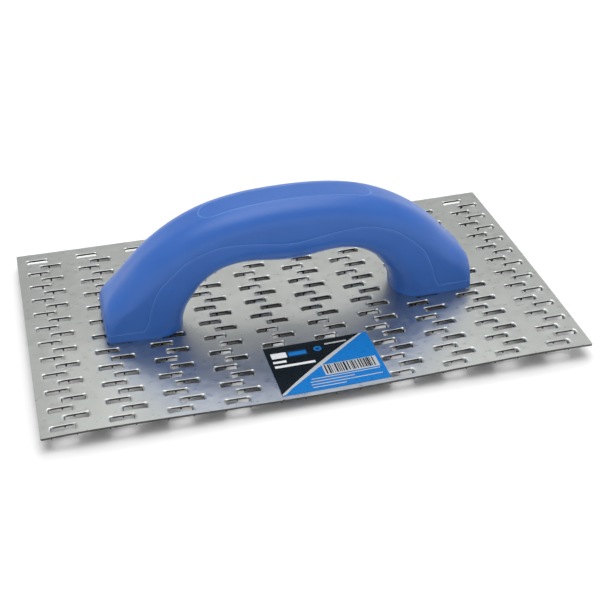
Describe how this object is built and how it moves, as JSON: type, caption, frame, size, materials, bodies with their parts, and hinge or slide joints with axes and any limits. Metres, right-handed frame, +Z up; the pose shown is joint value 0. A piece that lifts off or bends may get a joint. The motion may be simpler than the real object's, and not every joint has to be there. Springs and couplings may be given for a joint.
{
  "type": "render scratching float",
  "caption": "Plasterer's scratching float: a toothed punched steel sole under a blue plastic bridge handle, for keying wet render.",
  "frame": {"origin": "middle of the sole's footprint, level with the tips of the teeth", "axes": "+X along the sole's length and the handle, +Y across the sole, +Z up through the handle"},
  "size_m": [0.254, 0.1524, 0.0671],
  "materials": {
    "galvanised_steel": "smooth zinc-coated sheet, semi-gloss, faint spangle and handling scuffs",
    "blue_plastic": "satin moulded polypropylene with a fine grain",
    "screw_zinc": "bright zinc plate",
    "label_film": "printed self-adhesive film, plain blocks of blue, black and silver"
  },
  "bodies": {
    "root": {"sole_plate": "galvanised_steel", "handle_upper_shell": "blue_plastic", "handle_lower_shell": "blue_plastic", "product_label": "label_film", "plate_screw_1": "screw_zinc", "plate_screw_2": "screw_zinc", "plate_screw_3": "screw_zinc", "plate_screw_4": "screw_zinc"}
  },
  "joints": []
}
